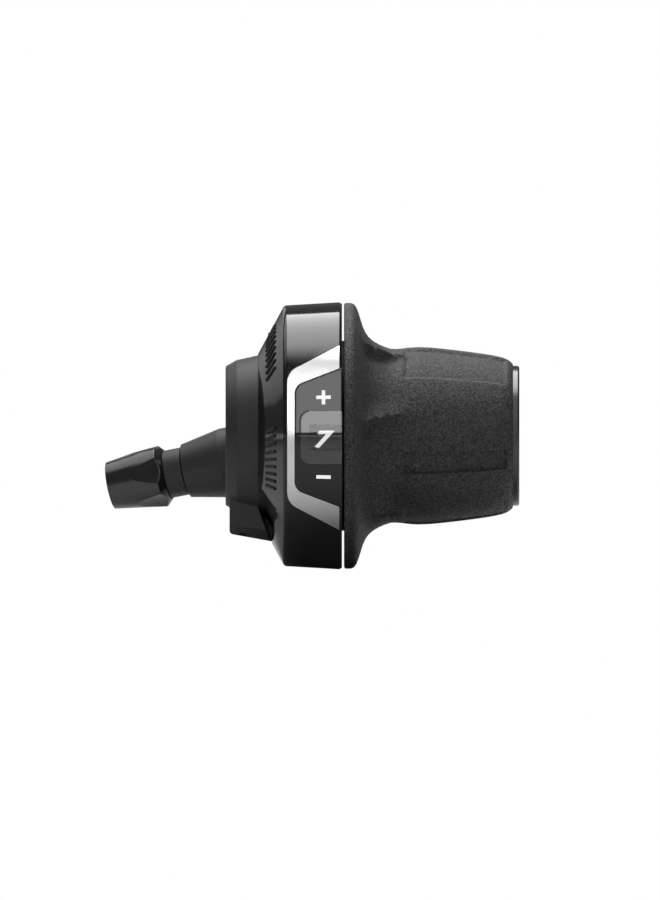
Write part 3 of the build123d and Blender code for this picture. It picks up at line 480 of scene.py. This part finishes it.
def pick(mesh, wanted):
    """Selects just the vertices that answer to wanted(x, radius, angle), angle from +Y up to +Z in degrees."""
    shape = bmesh.from_edit_mesh(mesh)
    for vertex in shape.verts:
        x, y, z = vertex.co * 1000
        vertex.select = wanted(x, hypot(y, z), degrees(atan2(z, y)) % 360)
    shape.select_flush_mode()
    bmesh.update_edit_mesh(mesh)


def turned_shell(name, stations, columns):
    """A ring drawn from station to station along the bar, each an (x, radius) in metres, and closed."""
    bpy.ops.object.select_all(action="DESELECT")
    x, radius = stations[0]
    bpy.ops.mesh.primitive_circle_add(
        vertices=columns, radius=radius, location=(x, 0, 0), rotation=(0, radians(90), 0)
    )
    shell = bpy.context.object
    shell.name = shell.data.name = name
    bpy.ops.object.transform_apply(location=True, rotation=True, scale=True)
    bpy.ops.object.mode_set(mode="EDIT")
    bpy.ops.mesh.select_all(action="SELECT")
    bpy.ops.transform.rotate(value=pi / columns, orient_axis="X", center_override=(x, 0, 0))
    for next_x, next_radius in [*stations[1:], stations[0]]:
        bpy.ops.mesh.extrude_edges_move(TRANSFORM_OT_translate={"value": (next_x - x, 0, 0)})
        spread = next_radius / radius
        bpy.ops.transform.resize(value=(1, spread, spread), center_override=(next_x, 0, 0))
        x, radius = next_x, next_radius
    bpy.ops.mesh.select_all(action="SELECT")
    bpy.ops.mesh.remove_doubles(threshold=1e-6)
    bpy.ops.mesh.normals_make_consistent(inside=False)
    return shell


inside = [
    (57.44, 14.09), (57.03, 14.09), (56.98, 13.92), (56.7, 13.92), (25.5, 13.92), (25.2, 13.92),
    (25.2, 14.3), (25.2, 24.4), (25.2, 24.62), (25.0, 24.62), (23.9, 24.62), (23.7, 24.62),
]
grip = turned_shell("grip_skin", [(x / 1000, r / 1000) for x, r in skin + inside], columns)
step = 360 / columns
for start, end in fins:
    for x, height in fin_height.items():
        radius = dict(skin)[x]
        angle = start + (end - start) * (x - fin_start_x) / (fin_end_x - fin_start_x)
        nearest = (round(angle / step - 0.5) + 0.5) * step
        for side, share in fin_sides.items():
            column = (nearest + side * step) % 360
            pick(grip.data, lambda vx, vr, va: abs(vx - x) < 0.01 and abs(vr - radius) < 0.01
                 and abs((va - column + 180) % 360 - 180) < 0.2)
            bpy.ops.transform.rotate(value=-radians(angle - nearest), orient_axis="X",
                                     center_override=(x / 1000, 0, 0))
            grow = 1 + height * share / radius
            bpy.ops.transform.resize(value=(1, grow, grow), center_override=(x / 1000, 0, 0))
pick(grip.data, lambda vx, vr, va: vr > 15 and any(
    abs(vx - x) < 0.01 and abs(vr - dict(skin)[x] - height) < 0.01
    and abs(va % 360 - (start + (end - start) * (x - fin_start_x) / (fin_end_x - fin_start_x)) % 360) < 0.2
    for start, end in fins for x, height in fin_height.items()
))
bpy.ops.transform.edge_crease(value=0.85)
bpy.ops.mesh.select_mode(type="FACE")
for start, end, slope_width, sunk in flats:
    for stage in ("crisp edge", "sink"):
        bpy.ops.mesh.select_mode(type="FACE")
        shape = bmesh.from_edit_mesh(grip.data)
        for face in shape.faces:
            x, y, z = face.calc_center_median() * 1000
            angle = degrees(atan2(z, y)) % 360
            face.select = (
                flat_start_x < x < flat_end_x and hypot(y, z) > 15 and (angle - start) % 360 < end - start
            )
        shape.select_flush_mode()
        bmesh.update_edit_mesh(grip.data)
        if stage == "crisp edge":
            bpy.ops.mesh.region_to_loop()
            bpy.ops.transform.edge_crease(value=0.6)
        else:
            bpy.ops.mesh.inset(thickness=slope_width / 1000, depth=-sunk / 1000)
            if slope_width < 0.3:
                bpy.ops.mesh.region_to_loop()
                bpy.ops.transform.edge_crease(value=0.6)
bpy.ops.mesh.select_mode(type="VERT")
bpy.ops.object.mode_set(mode="OBJECT")
soften = grip.modifiers.new("soften", "SUBSURF")
soften.levels = soften.render_levels = 2
bpy.ops.object.modifier_apply(modifier=soften.name)
bpy.ops.object.shade_smooth()

rubber = Finish(
    "grained_rubber", (0.015, 0.015, 0.0155), 0.5,
    Specular_IOR_Level=0.65, Sheen_Weight=0.06, Sheen_Roughness=0.5,
)
speck = rubber.noise(0.0004, 3.0)
tint = rubber.noise(0.003, 2.0)
mottle = rubber.rise(speck, 0.38, 0.66) * 0.9 + tint * 0.1
rubber.feed("Base Color", rubber.blend(mottle, grey(0.002), grey(0.058)))
rubber.feed("Roughness", rubber.rise(speck, 0.38, 0.66, 0.62, 0.46))
rubber.relief(speck, 0.0004)
grip.data.materials.append(rubber.material)
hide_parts("grip_rubber")
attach(grip, "grip")


# End ring: turned aluminium, black anodised and pressed on the end of the fixed tube. It keeps the grip on and
# stands still.
ring = Finish("black_anodised_ring", (0.06, 0.06, 0.062), 0.22, Metallic=1.0)
lathe = ring.stretched(0.0004, x=3.0)
ring.feed("Base Color", ring.blend(lathe, grey(0.07), grey(0.12)))
ring.feed("Roughness", ring.rise(lathe, 0.3, 0.7, 0.16, 0.3))
ring.relief(lathe, 0.000008, edge=0.00015)
paint(ring, "end_ring")


# The studio: a pale floor that the drum rests on, two soft boxes overhead whose front edges fade out, a weak
# one behind, a tall strip box in front, and a sky that is white at the horizon and dark above.
bpy.ops.object.select_all(action="DESELECT")
rest_height = cad_box[0].z - 0.0005
bpy.ops.mesh.primitive_plane_add(size=4, location=(0.02, 0, rest_height))
floor = bpy.context.object
floor.name = "floor"
bpy.ops.object.transform_apply(location=True, rotation=True, scale=True)
pale = Finish("pale_floor", (0.6, 0.6, 0.6), 0.8, Specular_IOR_Level=0.1)
pale.feed("Base Color", pale.blend(pale.noise(0.3), grey(0.58), grey(0.62)))
floor.data.materials.append(pale.material)


def soft_box(name, centre, size, turn, strength, fade=None):
    """A glowing sheet of that size, turned about X. With fade, it dies away towards its front edge."""
    bpy.ops.mesh.primitive_plane_add(size=1)
    sheet = bpy.context.object
    sheet.name = name
    bpy.ops.object.mode_set(mode="EDIT")
    bpy.ops.mesh.select_all(action="SELECT")
    bpy.ops.transform.resize(value=(*size, 1), center_override=(0, 0, 0))
    bpy.ops.object.mode_set(mode="OBJECT")
    sheet.rotation_euler.x = radians(turn)
    sheet.location = centre
    glow = Finish(name, (0, 0, 0), 1.0, Emission_Strength=strength, Specular_IOR_Level=0.0)
    if fade:
        share = glow.rise(glow.along("Y"), *fade)
        glow.feed("Emission Color", glow.blend(share, grey(0), grey(1)))
    else:
        glow.feed("Emission Color", grey(1))
    sheet.data.materials.append(glow.material)


soft_box("overhead_box", (0.05, 0.14, 0.6), (0.3, 0.88), 180, 5.6, fade=(0.44, 0.14))
soft_box("left_box", (-0.35, 0.14, 0.6), (0.5, 0.88), 180, 1.7, fade=(0.44, 0.14))
soft_box("back_box", (-0.6, 0.8, 0.25), (1.0, 0.44), 90, 0.8, fade=(-0.22, 0.05))
soft_box("strip_box", (-0.1, -1.0, 1.1), (0.14, 2.1), 90, 3.6)

world = bpy.data.worlds.new("studio")
bpy.context.scene.world = world
world.use_nodes = True
sky = Mixture(world.node_tree)
direction = sky.node("ShaderNodeTexCoord", "Generated")
level = sky.node("ShaderNodeSeparateXYZ", "Z", [direction])
backdrop = sky.blend(sky.rise(level, -0.02, -0.01), grey(0.62), grey(1.0))
dome = sky.blend(sky.rise(level, 0.006, 0.008), backdrop, grey(0.13))
sky.join(dome, world.node_tree.nodes["Background"].inputs["Color"])
bpy.context.scene.view_settings.view_transform = "Standard"

bpy.ops.object.camera_add(location=(0.0209, -0.6, -0.00284), rotation=(radians(90), 0, 0))
camera = bpy.context.object
camera.data.type = "ORTHO"
camera.data.ortho_scale = 0.18
camera.data.clip_start = 0.01
bpy.context.scene.camera = camera
